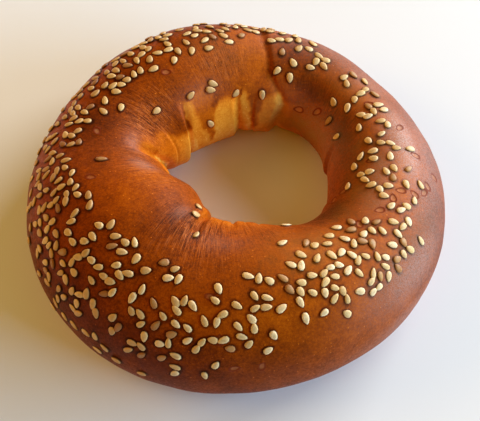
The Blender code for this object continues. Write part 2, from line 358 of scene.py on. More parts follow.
def crust(dough, around, across, skin=0.0):
    """Points of the crust for arrays of the two angles; the last axis is X, Y, Z."""
    across = across % 360.0
    outer = outline(dough.outer_radius, OUTER_SWELLS, around)
    inner = outline(dough.hole_radius, HOLE_SWELLS, around)
    half_width = (outer - inner) / 2
    height = dough.height_share * 2 * half_width
    flat = FLAT_SHARE * height
    belly = BELLY_SHARE * (height + flat)
    crown = (height + flat) - belly

    out = np.cos(np.radians(across))
    up = np.sin(np.radians(across))
    reach = half_width * np.sign(out) * np.abs(out) ** SIDE_POWER
    above = crown * np.abs(up) ** TOP_POWER
    below = -belly * np.abs(up) ** BASE_POWER
    proud = relief(around, across) + skin
    radius = (outer + inner) / 2 + reach + proud * out
    level = belly - flat + np.where(up > 0, above, below) + proud * up
    level = np.maximum(level, 0.0)
    plan = np.radians(around)
    east = radius * np.cos(plan) + MIDDLE_X
    north = radius * np.sin(plan) + MIDDLE_Y
    return np.stack([east, north, level], axis=-1)


def crust_point(dough, around, across):
    """One point of the crust."""
    return Vector(crust(dough, np.array(float(around)), np.array(float(across))))


def crust_axes(dough, around, across, step=0.5):
    """Outward normal at a place on the crust, and the direction round the ring."""
    along = crust_point(dough, around + step, across) - crust_point(dough, around - step, across)
    over = crust_point(dough, around, across + step) - crust_point(dough, around, across - step)
    return along.cross(over).normalized(), along.normalized()


def band(around, column):
    """One of the band's values at that angle round the ring."""
    return np.interp(around, [row[0] for row in BAND], [row[column] for row in BAND], period=360)


def drawn_seeds(dough):
    """Places of all the seeds in the order they fell: around, across, way the tip points."""
    draw = random.Random(dough.random_seed)
    fallen = list(LONE_SEEDS)
    points = [crust_point(dough, place, mark) for place, mark, _ in fallen]
    crowding = [band(degree, 3) for degree in range(360)]
    for _ in range(BAND_SEEDS):
        for _ in range(TRIES):
            around = draw.choices(range(360), crowding)[0] + draw.random()
            across = band(around, 1) + band(around, 2) * draw.triangular(-BAND_REACH, BAND_REACH)
            tip = draw.uniform(0, 360)
            point = crust_point(dough, around, across)
            if all((point - other).length > CLOSEST for other in points):
                fallen.append((around, across, tip))
                points.append(point)
                break
    return fallen


def seat(dough, around, across, tip):
    """Where something lies on the crust: its point, its tip's direction, its side and its up."""
    normal, along = crust_axes(dough, around, across)
    heading = Matrix.Rotation(math.radians(tip), 3, normal) @ along
    return crust_point(dough, around, across), heading, normal.cross(heading), normal


def node(tree, kind, inputs=None, stops=(), **settings):
    """Adds a node. inputs gives a socket, by name or number, its value or the output it takes, and
    stops gives a colour ramp its positions and colours."""
    made = tree.nodes.new(kind)
    for name, value in settings.items():
        setattr(made, name, value)
    for key, value in (inputs or {}).items():
        socket = made.inputs[key]
        if isinstance(value, bpy.types.NodeSocket):
            tree.links.new(value, socket)
        elif socket.type == "RGBA":
            socket.default_value = (*value, 1.0)
        else:
            socket.default_value = value
    for _ in stops[2:]:
        made.color_ramp.elements.new(1.0)
    for index, (position, colour) in enumerate(stops):
        element = made.color_ramp.elements[index]
        element.position = position
        element.color = (*colour, 1.0)
    return made


def tree_with(name, sockets):
    """A Geometry Nodes tree that takes a mesh and these named inputs and gives a mesh."""
    tree = bpy.data.node_groups.new(name, "GeometryNodeTree")
    tree.interface.new_socket("Geometry", in_out="INPUT", socket_type="NodeSocketGeometry")
    for title, kind in sockets:
        tree.interface.new_socket(title, in_out="INPUT", socket_type="NodeSocket" + kind)
    tree.interface.new_socket("Geometry", in_out="OUTPUT", socket_type="NodeSocketGeometry")
    return tree, node(tree, "NodeGroupInput").outputs


def grown(name, mesh, tree, values):
    """Runs a Geometry Nodes tree on a mesh, and keeps the result as an object of plain mesh."""
    source = bpy.data.objects.new(name + "_source", mesh)
    bpy.context.scene.collection.objects.link(source)
    modifier = source.modifiers.new(tree.name, "NODES")
    modifier.node_group = tree
    for item in tree.interface.items_tree:
        if item.item_type == "SOCKET" and item.in_out == "INPUT" and item.name in values:
            modifier[item.identifier] = values[item.name]
    graph = bpy.context.evaluated_depsgraph_get()
    result = bpy.data.meshes.new_from_object(
        source.evaluated_get(graph), preserve_all_data_layers=True, depsgraph=graph)
    source.modifiers.remove(modifier)
    bpy.data.objects.remove(source)
    piece = bpy.data.objects.new(name, result)
    result.name = name
    bpy.context.scene.collection.objects.link(piece)
    if not result.polygons:
        raise RuntimeError(f"{name} came out empty")
    return piece


def stations():
    """The angles round the ring and over the dough at which the crust has points."""
    start, stop = FOLDED_STRETCH
    close = np.arange(start, stop, FOLDED_STEP)
    wide = np.linspace(stop, start + 360, round((360 + start - stop) / PLAIN_STEP), endpoint=False)
    low, high = SEEN_SIDE
    seen = np.arange(low, high, SEEN_STEP)
    base = np.linspace(high, low + 360, round((360 + low - high) / BASE_STEP), endpoint=False)
    return np.concatenate([close, wide]), np.concatenate([seen, base])


def waver(angle, waves):
    """An uneven to and fro along an angle. Each wave says how many go round, how far, and where."""
    return sum(far * np.sin(np.radians(angle * count + start)) for count, far, start in waves)


def from_base(across):
    """The same angle over the dough, counted from the middle of the base: -90 to 270."""
    return (across + 90.0) % 360.0 - 90.0


def browning(around, across):
    """How brown the crust is, from 0, raw, to 1, burnt."""
    low = from_base(across)
    marks, tones = zip(*BROWNING)
    tone = np.interp(low, marks, tones) + 0.0 * around
    for place, mark, spread, rise, amount in PATCHES.values():
        tone = tone + amount * hill(turn(around, place), spread) * hill(turn(across, mark), rise)
    places, edges, walls = zip(*WALL)
    edge = np.interp(around, places, edges, period=360) + waver(around, WALL_RAGGED)
    wall = np.interp(around, places, walls, period=360)
    inside = ease((low - edge) / WALL_SOFTNESS) * ease((WALL_END - low) / WALL_END_SOFTNESS)
    for start, stretch, amount in WALL_PALER:
        wall = wall - amount * ease((low - start) / stretch)
    tone = tone + inside * (wall - tone)
    for path, brown, under, over in STRIPES.values():
        marks, places, halves = zip(*path)
        aside = turn(around + waver(low, STRIPE_RAGGED), np.interp(low, marks, places))
        half = np.interp(low, marks, halves)
        share = ease((half + aside) / under + 0.5) * ease((half - aside) / over + 0.5)
        share = share * ease((low - marks[0]) / STRIPE_STARTS) * ease((marks[-1] - low) / STRIPE_ENDS)
        tone = tone + share * (brown - tone)
    return tone


def near_seed(dough, points, place, mark, tip):
    """Which points are near a seed that lies there, and how far they are from its middle, along it
    and beside it, where 1 is its edge."""
    middle, heading, side, _ = seat(dough, place, mark, tip)
    away = points - np.array(middle)
    near = np.nonzero(np.abs(away).max(axis=1) < SEED_REACH)[0]
    along = away[near] @ np.array(heading) / (SEEDS_LONG / 2)
    beside = away[near] @ np.array(side) / (SEEDS_WIDE / 2)
    return near, along, beside


def print_relief(dough, points):
    """How far the rims of the prints stand out at each point, and how far their floors sink in."""
    flat = points.reshape(-1, 3)
    rise = np.zeros(len(flat))
    for place in PRINTS:
        near, along, beside = near_seed(dough, flat, *place)
        distance = np.hypot(along, beside)
        rise[near] += PRINT_RIM * hill(distance - 1.0, PRINT_RIM_WIDTH)
        rise[near] -= PRINT_DEPTH * hill(distance, PRINT_WIDTH)
    return rise.reshape(points.shape[:-1])


def spots(places, around, across):
    """The strongest of these soft spots at each point."""
    total = 0.0 * around * across
    for place, mark, spread, rise, strength in places.values():
        shown = strength * hill(turn(around, place), spread) * hill(turn(across, mark), rise)
        total = np.maximum(total, shown)
    return total


def distance_to(dough, points, places):
    """How far each point is from the nearest of these places, where 1 is the edge of a seed."""
    flat = points.reshape(-1, 3)
    nearest = np.full(len(flat), NOT_NEAR)
    for place in places:
        near, along, beside = near_seed(dough, flat, *place)
        narrower = np.clip(1.0 - SEED_TAPER * along, 0.4, 1.3)
        nearest[near] = np.minimum(nearest[near], np.hypot(along, beside / narrower))
    return nearest.reshape(points.shape[:-1])


def keep(mesh, name, values):
    """Keeps a number or a direction for each point of a mesh, under that name."""
    flat = np.asarray(values, dtype=np.float32).reshape(-1)
    directions = flat.size > len(mesh.vertices)
    layer = mesh.attributes.new(name, "FLOAT_VECTOR" if directions else "FLOAT", "POINT")
    layer.data.foreach_set("vector" if directions else "value", flat)


def crust_mesh(dough):
    """The skin of the ring, closed, with what the materials need to know kept on its points."""
    round_ring, over_dough = stations()
    around = round_ring[:, None]
    across = over_dough[None, :]
    plain = crust(dough, around, across)
    skin = print_relief(dough, plain)
    for crease in CREASES.values():
        skin = skin + fold_relief(crease, around, across % 360.0)
    points = crust(dough, around, across, skin)

    rows, columns = points.shape[:2]
    index = np.arange(rows * columns).reshape(rows, columns)
    after = np.roll(index, -1, axis=0)
    quads = np.stack([index, after, np.roll(after, -1, axis=1), np.roll(index, -1, axis=1)], axis=-1)
    mesh = bpy.data.meshes.new("crust")
    mesh.from_pydata(points.reshape(-1, 3).tolist(), [], quads.reshape(-1, 4).tolist())

    low = from_base(across)
    start, stop = FREE_SIDE
    free = ease((low - start) / FREE_FADE) * ease((stop - low) / FREE_FADE) + 0.0 * around
    plan = np.radians(around + GRAIN_SLANT * (low - 90.0))
    fineness = dough.grain_lines / (2 * math.pi)
    grain = np.stack([fineness * np.cos(plan), fineness * np.sin(plan),
                      GRAIN_BREAKS * low + 0.0 * plan], axis=-1)
    keep(mesh, "browning", browning(around, across))
    keep(mesh, "wrinkled", spots(WRINKLED, around, across) * free)
    # Painted sheen and highlights, kept on the points
    keep(mesh, "bloom", spots(PAINTED_SHEEN, around, across))
    keep(mesh, "golden", spots(GOLDEN, around, across))
    keep(mesh, "free", free)
    keep(mesh, "grain", grain)
    keep(mesh, "from_seed", distance_to(dough, plain, drawn_seeds(dough)))
    keep(mesh, "from_print", distance_to(dough, plain, PRINTS))
    return mesh


def skin_tree():
    """Raises the fine wrinkles and lumps of a crust along its normals."""
    tree, given = tree_with("crust_skin", (
        ("Wrinkle Height", "Float"), ("Lump Height", "Float"), ("Lump Width", "Float"),
        ("Material", "Material")))
    grain = node(tree, "GeometryNodeInputNamedAttribute", {"Name": "grain"}, data_type="FLOAT_VECTOR")
    wrinkled = node(tree, "GeometryNodeInputNamedAttribute", {"Name": "wrinkled"}, data_type="FLOAT")
    free = node(tree, "GeometryNodeInputNamedAttribute", {"Name": "free"}, data_type="FLOAT")

    # Ridges along the grain, where the dough is wrinkled
    lines = node(tree, "ShaderNodeTexNoise", {
        "Vector": grain.outputs[0], "Scale": 1 / RIDGE_WIDTH, "Detail": 1.5, "Roughness": 0.55})
    line_height = node(tree, "ShaderNodeMath", {
        0: lines.outputs[0], 1: 0.5}, operation="SUBTRACT")
    line_rise = node(tree, "ShaderNodeMath", {
        0: line_height.outputs[0], 1: given["Wrinkle Height"]}, operation="MULTIPLY")
    line_shown = node(tree, "ShaderNodeMath", {
        0: line_rise.outputs[0], 1: wrinkled.outputs[0]}, operation="MULTIPLY")

    # Lumps all over, but not on the base
    place = node(tree, "GeometryNodeInputPosition")
    per_lump = node(tree, "ShaderNodeMath", {0: 1.0, 1: given["Lump Width"]}, operation="DIVIDE")
    lumps = node(tree, "ShaderNodeTexNoise", {
        "Vector": place.outputs[0], "Scale": per_lump.outputs[0], "Detail": 1.5, "Roughness": 0.45})
    lump_height = node(tree, "ShaderNodeMath", {
        0: lumps.outputs[0], 1: 0.5}, operation="SUBTRACT")
    lump_rise = node(tree, "ShaderNodeMath", {
        0: lump_height.outputs[0], 1: given["Lump Height"]}, operation="MULTIPLY")
    lump_shown = node(tree, "ShaderNodeMath", {
        0: lump_rise.outputs[0], 1: free.outputs[0]}, operation="MULTIPLY")

    rise = node(tree, "ShaderNodeMath", {
        0: line_shown.outputs[0], 1: lump_shown.outputs[0]}, operation="ADD")
    normal = node(tree, "GeometryNodeInputNormal")
    shift = node(tree, "ShaderNodeVectorMath", {
        0: normal.outputs[0], "Scale": rise.outputs[0]}, operation="SCALE")
    moved = node(tree, "GeometryNodeSetPosition", {
        "Geometry": given["Geometry"], "Offset": shift.outputs[0]})
    smooth = node(tree, "GeometryNodeSetShadeSmooth", {"Geometry": moved.outputs[0]})
    real = node(tree, "GeometryNodeRealizeInstances", {"Geometry": smooth.outputs[0]})
    dressed = node(tree, "GeometryNodeSetMaterial", {
        "Geometry": real.outputs[0], "Material": given["Material"]})
    node(tree, "NodeGroupOutput", {0: dressed.outputs[0]})
    return tree


def seed_tree():
    """Puts a sesame seed on each point, its tip and its up as the point says."""
    tree, given = tree_with("sesame", (
        ("Length", "Float"), ("Width", "Float"), ("Height", "Float"), ("Narrowing", "Float"),
        ("Random Seed", "Int"), ("Material", "Material")))
    ball = node(tree, "GeometryNodeMeshUVSphere", {"Segments": 10, "Rings": 5, "Radius": 0.5})
    place = node(tree, "GeometryNodeInputPosition")
    parts = node(tree, "ShaderNodeSeparateXYZ", {0: place.outputs[0]})

    # Height on the seed for its colours: -1 at the foot, 1 on the upper face
    height_mark = node(tree, "ShaderNodeMath", {
        0: parts.outputs["Z"], 1: 2.0}, operation="MULTIPLY")
    marked = node(tree, "GeometryNodeStoreNamedAttribute", {
        "Geometry": ball.outputs["Mesh"], "Name": "face", "Value": height_mark.outputs[0]},
        data_type="FLOAT", domain="POINT")

    # Narrower towards the tip, in plan like a drop
    tip = node(tree, "ShaderNodeMath", {
        0: parts.outputs["X"], 1: 2.0}, operation="MULTIPLY")
    pointed = node(tree, "ShaderNodeMath", {0: tip.outputs[0], 1: 3.0}, operation="POWER")
    both = node(tree, "ShaderNodeMath", {
        0: pointed.outputs[0], 1: 0.7, 2: tip.outputs[0]}, operation="MULTIPLY_ADD")
    thinner = node(tree, "ShaderNodeMath", {
        0: both.outputs[0], 1: given["Narrowing"]}, operation="MULTIPLY")
    fullness = node(tree, "ShaderNodeMath", {0: 1.0, 1: thinner.outputs[0]}, operation="SUBTRACT")
    wide = node(tree, "ShaderNodeMath", {
        0: parts.outputs["Y"], 1: given["Width"]}, operation="MULTIPLY")
    wide_here = node(tree, "ShaderNodeMath", {
        0: wide.outputs[0], 1: fullness.outputs[0]}, operation="MULTIPLY")
    long = node(tree, "ShaderNodeMath", {
        0: parts.outputs["X"], 1: given["Length"]}, operation="MULTIPLY")

    # Flattened on its upper face
    steep = node(tree, "ShaderNodeMath", {0: parts.outputs["Z"], 1: 1.7}, operation="MULTIPLY")
    flattened = node(tree, "ShaderNodeMath", {
        0: steep.outputs[0], 1: 0.46, 2: 0.25}, operation="SMOOTH_MIN")
    high = node(tree, "ShaderNodeMath", {
        0: flattened.outputs[0], 1: given["Height"]}, operation="MULTIPLY")
    shape = node(tree, "ShaderNodeCombineXYZ", {
        "X": long.outputs[0], "Y": wide_here.outputs[0], "Z": high.outputs[0]})
    seed = node(tree, "GeometryNodeSetPosition", {
        "Geometry": marked.outputs[0], "Position": shape.outputs[0]})

    up = node(tree, "GeometryNodeInputNamedAttribute", {"Name": "up"}, data_type="FLOAT_VECTOR")
    heading = node(tree, "GeometryNodeInputNamedAttribute", {
        "Name": "heading"}, data_type="FLOAT_VECTOR")
    turned = node(tree, "FunctionNodeAxesToRotation", {
        0: up.outputs[0], 1: heading.outputs[0]}, primary_axis="Z", secondary_axis="X")
    size = node(tree, "FunctionNodeRandomValue", {
        "Min": SEED_SMALLEST, "Max": SEED_LARGEST, "Seed": given["Random Seed"]},
        data_type="FLOAT_VECTOR")

    # Browner by chance, and darker towards the shaded side as painted shade
    chance = node(tree, "FunctionNodeRandomValue", {
        2: 0.0, 3: TINT_BY_CHANCE, "Seed": given["Random Seed"]}, data_type="FLOAT")
    toast = node(tree, "GeometryNodeInputNamedAttribute", {"Name": "toast"}, data_type="FLOAT")
    tint = node(tree, "ShaderNodeMath", {
        0: toast.outputs[0], 1: 1.0 - TINT_BY_CHANCE, 2: chance.outputs[1]}, operation="MULTIPLY_ADD")
    tinted = node(tree, "GeometryNodeStoreNamedAttribute", {
        "Geometry": given["Geometry"], "Name": "tint", "Value": tint.outputs[0]},
        data_type="FLOAT", domain="POINT")
    spread = node(tree, "GeometryNodeInstanceOnPoints", {
        "Points": tinted.outputs[0], "Instance": seed.outputs[0],
        "Rotation": turned.outputs[0], "Scale": size.outputs[0]})
    real = node(tree, "GeometryNodeRealizeInstances", {"Geometry": spread.outputs[0]})
    smooth = node(tree, "GeometryNodeSetShadeSmooth", {"Geometry": real.outputs[0]})
    dressed = node(tree, "GeometryNodeSetMaterial", {
        "Geometry": smooth.outputs[0], "Material": given["Material"]})
    node(tree, "NodeGroupOutput", {0: dressed.outputs[0]})
    return tree


def empty_material(name):
    """A material without nodes, and its tree."""
    material = bpy.data.materials.new(name)
    material.use_nodes = True
    material.node_tree.nodes.clear()
    return material, material.node_tree


def egg_washed_crust(colours):
    """Egg-washed, baked wheat crust: browned starch under a thin dry glaze. It shines softly and widely,
    with painted sheen, highlights and glints added to its colour, is mottled and pored like skin, is
    darker round each seed from burnt wash and painted contact shade, and carries fine dark lines where
    the dough was pulled together towards the hole."""
    material, tree = empty_material("egg_washed_crust")
    spot = node(tree, "ShaderNodeTexCoord").outputs["Object"]
    tone = node(tree, "ShaderNodeAttribute", attribute_name="browning").outputs["Fac"]
    wrinkled = node(tree, "ShaderNodeAttribute", attribute_name="wrinkled").outputs["Fac"]
    # Painted sheen and highlights
    bloom = node(tree, "ShaderNodeAttribute", attribute_name="bloom").outputs["Fac"]
    golden = node(tree, "ShaderNodeAttribute", attribute_name="golden").outputs["Fac"]
    grain = node(tree, "ShaderNodeAttribute", attribute_name="grain").outputs["Vector"]
    from_seed = node(tree, "ShaderNodeAttribute", attribute_name="from_seed").outputs["Fac"]
    from_print = node(tree, "ShaderNodeAttribute", attribute_name="from_print").outputs["Fac"]

    # Mottling: clouds of 9 mm, blotches of 3 mm, specks of 0.8 mm and pores of 0.35 mm
    clouds = node(tree, "ShaderNodeTexNoise", {
        "Vector": spot, "Scale": 1 / (9 * MM), "Detail": 3.0, "Roughness": 0.55}).outputs[0]
    blotches = node(tree, "ShaderNodeTexNoise", {
        "Vector": spot, "Scale": 1 / (3 * MM), "Detail": 3.0, "Roughness": 0.6,
        "Distortion": 0.6}).outputs[0]
    specks = node(tree, "ShaderNodeTexNoise", {
        "Vector": spot, "Scale": 1 / (0.8 * MM), "Detail": 2.0, "Roughness": 0.6}).outputs[0]
    pores = node(tree, "ShaderNodeTexNoise", {
        "Vector": spot, "Scale": 1 / (0.35 * MM), "Detail": 2.0, "Roughness": 0.55}).outputs[0]
    for source, strength in ((clouds, 0.17), (blotches, 0.20), (specks, 0.27), (pores, 0.24)):
        centred = node(tree, "ShaderNodeMath", {0: source, 1: 0.5}, operation="SUBTRACT").outputs[0]
        tone = node(tree, "ShaderNodeMath", {
            0: centred, 1: strength, 2: tone}, operation="MULTIPLY_ADD").outputs[0]

    # Fine lines along the grain, 0.3 mm wide on the crown: thin dark ones, broken up by the
    # blotches, and softer ones
    lines = node(tree, "ShaderNodeTexNoise", {
        "Vector": grain, "Scale": 1 / LINE_WIDTH, "Detail": 4.0, "Roughness": 0.84}).outputs[0]
    hairs = node(tree, "ShaderNodeMapRange", {
        "Value": lines, "From Min": 0.50, "From Max": 0.66}).outputs[0]
    broken = node(tree, "ShaderNodeMapRange", {
        "Value": blotches, "From Min": 0.30, "From Max": 0.50}).outputs[0]
    hairs = node(tree, "ShaderNodeMath", {0: hairs, 1: broken}, operation="MULTIPLY").outputs[0]
    hairs = node(tree, "ShaderNodeMath", {0: hairs, 1: wrinkled}, operation="MULTIPLY").outputs[0]
    combed = node(tree, "ShaderNodeMath", {0: lines, 1: 0.5}, operation="SUBTRACT").outputs[0]
    combed = node(tree, "ShaderNodeMath", {0: combed, 1: wrinkled}, operation="MULTIPLY").outputs[0]

    # Tiny blisters, 0.3 mm wide, paler than the crust and not in every cell of 1.5 mm; their paleness is
    # partly painted glints
    cells = node(tree, "ShaderNodeTexVoronoi", {"Vector": spot, "Scale": 1 / (1.5 * MM)})
    chosen = node(tree, "ShaderNodeSeparateColor", {0: cells.outputs["Color"]}).outputs[0]
    chosen = node(tree, "ShaderNodeMapRange", {
        "Value": chosen, "From Min": 0.50, "From Max": 0.65}).outputs[0]
    blister_and_glint = node(tree, "ShaderNodeMapRange", {
        "Value": cells.outputs["Distance"], "From Min": 0.16, "From Max": 0.07}).outputs[0]
    blister_and_glint = node(tree, "ShaderNodeMath", {0: blister_and_glint, 1: chosen}, operation="MULTIPLY").outputs[0]

    # The wash pooled and burnt in a thin line round each seed, made darker by painted contact shade
    seed_wash_and_contact_shade = node(tree, "ShaderNodeMapRange", {
        "Value": from_seed, "From Min": 1.5, "From Max": 1.02}).outputs[0]
    for source, strength in ((hairs, 0.22), (combed, 1.15), (blister_and_glint, -0.24), (seed_wash_and_contact_shade, 0.20)):
        tone = node(tree, "ShaderNodeMath", {
            0: source, 1: strength, 2: tone}, operation="MULTIPLY_ADD").outputs[0]
    colour = node(tree, "ShaderNodeValToRGB", {0: tone}, stops=[
        (position, getattr(colours, name)) for position, name in CRUST_STOPS]).outputs[0]

    # Golden where the oven was cooler, and more so in the blotches
    in_blotches = node(tree, "ShaderNodeMapRange", {
        "Value": blotches, "From Min": 0.35, "From Max": 0.65,
        "To Min": 0.42, "To Max": 0.82}).outputs[0]
    golden_share = node(tree, "ShaderNodeMath", {
        0: golden, 1: in_blotches}, operation="MULTIPLY").outputs[0]
    colour = node(tree, "ShaderNodeMix", {
        0: golden_share, 6: colour, 7: colours.golden}, data_type="RGBA").outputs[2]

    # Painted sheen and highlights, laid in fine grains
    in_grains = node(tree, "ShaderNodeMapRange", {
        "Value": pores, "From Min": 0.36, "From Max": 0.64,
        "To Min": 0.26, "To Max": 0.82}).outputs[0]
    painted_sheen_share = node(tree, "ShaderNodeMath", {
        0: bloom, 1: in_grains}, operation="MULTIPLY").outputs[0]
    colour = node(tree, "ShaderNodeMix", {
        0: painted_sheen_share, 6: colour, 7: colours.bloom}, data_type="RGBA").outputs[2]

    # Painted highlights on the stretched ridges between the fine lines
    ridge_highlights = node(tree, "ShaderNodeMapRange", {
        "Value": lines, "From Min": 0.48, "From Max": 0.36, "To Max": 0.42}).outputs[0]
    ridge_highlights = node(tree, "ShaderNodeMath", {0: ridge_highlights, 1: wrinkled}, operation="MULTIPLY").outputs[0]
    colour = node(tree, "ShaderNodeMix", {
        0: ridge_highlights, 6: colour, 7: colours.ridge}, data_type="RGBA").outputs[2]

    # A print is a thin red-brown rim round a paler, pinker floor
    inside = node(tree, "ShaderNodeMapRange", {
        "Value": from_print, "From Min": 0.80, "From Max": 0.45, "To Max": 0.38}).outputs[0]
    colour = node(tree, "ShaderNodeMix", {
        0: inside, 6: colour, 7: colours.print_floor}, data_type="RGBA").outputs[2]
    rim = node(tree, "ShaderNodeMapRange", {
        "Value": from_print, "From Min": 0.60, "From Max": 0.82}).outputs[0]
    past = node(tree, "ShaderNodeMapRange", {
        "Value": from_print, "From Min": 1.20, "From Max": 0.95}).outputs[0]
    rim = node(tree, "ShaderNodeMath", {0: rim, 1: past}, operation="MULTIPLY").outputs[0]
    rim_share = node(tree, "ShaderNodeMath", {0: rim, 1: 0.85}, operation="MULTIPLY").outputs[0]
    colour = node(tree, "ShaderNodeMix", {
        0: rim_share, 6: colour, 7: colours.print_rim}, data_type="RGBA").outputs[2]

    height = pores
    for source, strength in ((hairs, -1.6), (combed, 2.0), (blister_and_glint, 0.9), (rim, 0.8)):
        height = node(tree, "ShaderNodeMath", {
            0: source, 1: strength, 2: height}, operation="MULTIPLY_ADD").outputs[0]
    bump = node(tree, "ShaderNodeBump", {
        "Strength": 0.5, "Distance": 0.12 * MM, "Height": height}).outputs[0]
    roughness = node(tree, "ShaderNodeMapRange", {
        "Value": specks, "From Min": 0.3, "From Max": 0.7, "To Min": 0.42, "To Max": 0.58}).outputs[0]
    shader = node(tree, "ShaderNodeBsdfPrincipled", {
        "Base Color": colour, "Roughness": roughness, "Metallic": 0.0, "IOR": 1.38,
        "Specular IOR Level": 0.24, "Specular Tint": colours.shine, "Normal": bump})
    node(tree, "ShaderNodeOutputMaterial", {"Surface": shader.outputs[0]})
    return material


def sesame_husk(name, colours, sesame):
    """Hulled sesame seed: smooth, dry and faintly waxy, greyer in the middle of its flat face and dark
    brown at its foot, partly caramelised wash where it is set in and partly painted contact shade."""
    material, tree = empty_material(name)
    spot = node(tree, "ShaderNodeTexCoord").outputs["Object"]
    tint = node(tree, "ShaderNodeAttribute", attribute_name="tint").outputs["Fac"]
    face = node(tree, "ShaderNodeAttribute", attribute_name="face").outputs["Fac"]
    steps = len(colours) - 1
    husk = node(tree, "ShaderNodeValToRGB", {0: tint}, stops=[
        (index / steps, colour) for index, colour in enumerate(colours)]).outputs[0]

    # Stains of 1.2 mm, which show where the face is flat
    stain = node(tree, "ShaderNodeTexNoise", {
        "Vector": spot, "Scale": 1 / (1.2 * MM), "Detail": 2.0, "Roughness": 0.55}).outputs[0]
    patchy = node(tree, "ShaderNodeMapRange", {
        "Value": stain, "From Min": 0.35, "From Max": 0.65, "To Min": 0.15, "To Max": 0.75}).outputs[0]
    middle = node(tree, "ShaderNodeMapRange", {
        "Value": face, "From Min": 0.70, "From Max": 0.97}).outputs[0]
    grey_share = node(tree, "ShaderNodeMath", {
        0: middle, 1: patchy}, operation="MULTIPLY").outputs[0]
    body = node(tree, "ShaderNodeMix", {
        0: grey_share, 6: husk, 7: sesame.face}, data_type="RGBA").outputs[2]
    # Dark brown at the foot: caramelised wash and painted contact shade
    foot_share = node(tree, "ShaderNodeMapRange", {
        "Value": face, "From Min": 0.42, "From Max": 0.05}).outputs[0]
    colour = node(tree, "ShaderNodeMix", {
        0: foot_share, 6: body, 7: sesame.foot}, data_type="RGBA").outputs[2]

    # Grit of 0.4 mm
    grit = node(tree, "ShaderNodeTexNoise", {
        "Vector": spot, "Scale": 1 / (0.4 * MM), "Detail": 1.0, "Roughness": 0.55}).outputs[0]
    bump = node(tree, "ShaderNodeBump", {
        "Strength": 0.25, "Distance": 0.05 * MM, "Height": grit}).outputs[0]
    shader = node(tree, "ShaderNodeBsdfPrincipled", {
        "Base Color": colour, "Roughness": 0.45, "Metallic": 0.0, "IOR": 1.46, "Normal": bump})
    node(tree, "ShaderNodeOutputMaterial", {"Surface": shader.outputs[0]})
    return material


def matt_laminate(colour):
    """Matt white laminate of a table top: pale and even but for the faintest clouds, and without
    gloss."""
    material, tree = empty_material("matt_laminate")
    spot = node(tree, "ShaderNodeTexCoord").outputs["Object"]
    cloud = node(tree, "ShaderNodeTexNoise", {
        "Vector": spot, "Scale": CLOUDS_A_METRE, "Detail": 2.0}).outputs[0]
    share = node(tree, "ShaderNodeMapRange", {
        "Value": cloud, "From Min": 0.3, "From Max": 0.7, "To Max": 0.5}).outputs[0]
    darker = [CLOUDED * part for part in colour]
    shade = node(tree, "ShaderNodeMix", {0: share, 6: colour, 7: darker}, data_type="RGBA").outputs[2]
    shader = node(tree, "ShaderNodeBsdfPrincipled", {"Base Color": shade, "Roughness": 0.6})
    node(tree, "ShaderNodeOutputMaterial", {"Surface": shader.outputs[0]})
    return material


def hang_light(name, power):
    """A soft rectangle of light, turned towards the ring."""
    azimuth, elevation, distance, width, height, colour, mirrored = LIGHTS[name]
    light = bpy.data.lights.new(name, "AREA")
    light.shape = "RECTANGLE"
    light.size = width
    light.size_y = height
    light.energy = power
    light.color = linear(colour)
    level = math.cos(math.radians(elevation))
    towards = Vector((level * math.cos(math.radians(azimuth)), level * math.sin(math.radians(azimuth)),
                      math.sin(math.radians(elevation))))
    lamp = bpy.data.objects.new(name, light)
    lamp.location = towards * distance
    lamp.rotation_euler = towards.to_track_quat("Z", "Y").to_euler()
    lamp.visible_glossy = mirrored
    bpy.context.scene.collection.objects.link(lamp)


class DoughSettings(bpy.types.PropertyGroup):
    """Sizes of the ring of dough"""

    outer_radius: FloatProperty(
        name="Outer radius", description="Mean radius of the ring, seen from above",
        default=61.7 * MM, unit="LENGTH", precision=4)
    hole_radius: FloatProperty(
        name="Hole radius", description="Mean radius of the hole, seen from above",
        default=21.9 * MM, unit="LENGTH", precision=4)
    height_share: FloatProperty(
        name="Height share", description="Height of the dough over its width",
        default=0.80, min=0.4, max=1.2, subtype="FACTOR")
    wrinkle_height: FloatProperty(
        name="Wrinkle height", description="Height of the fine lines that run towards the hole",
        default=0.14 * MM, unit="LENGTH", precision=5)
    lump_height: FloatProperty(
        name="Lump height", description="Height of the dough's own unevenness",
        default=0.9 * MM, unit="LENGTH", precision=5)
    lump_width: FloatProperty(
        name="Lump width", description="Width of that unevenness",
        default=14 * MM, unit="LENGTH", precision=4)
    grain_lines: FloatProperty(
        name="Creases", description="How many creases of the grain go round the ring",
        default=330.0)
    random_seed: IntProperty(
        name="Random seed", description="Which draw of seed places is used", default=11)


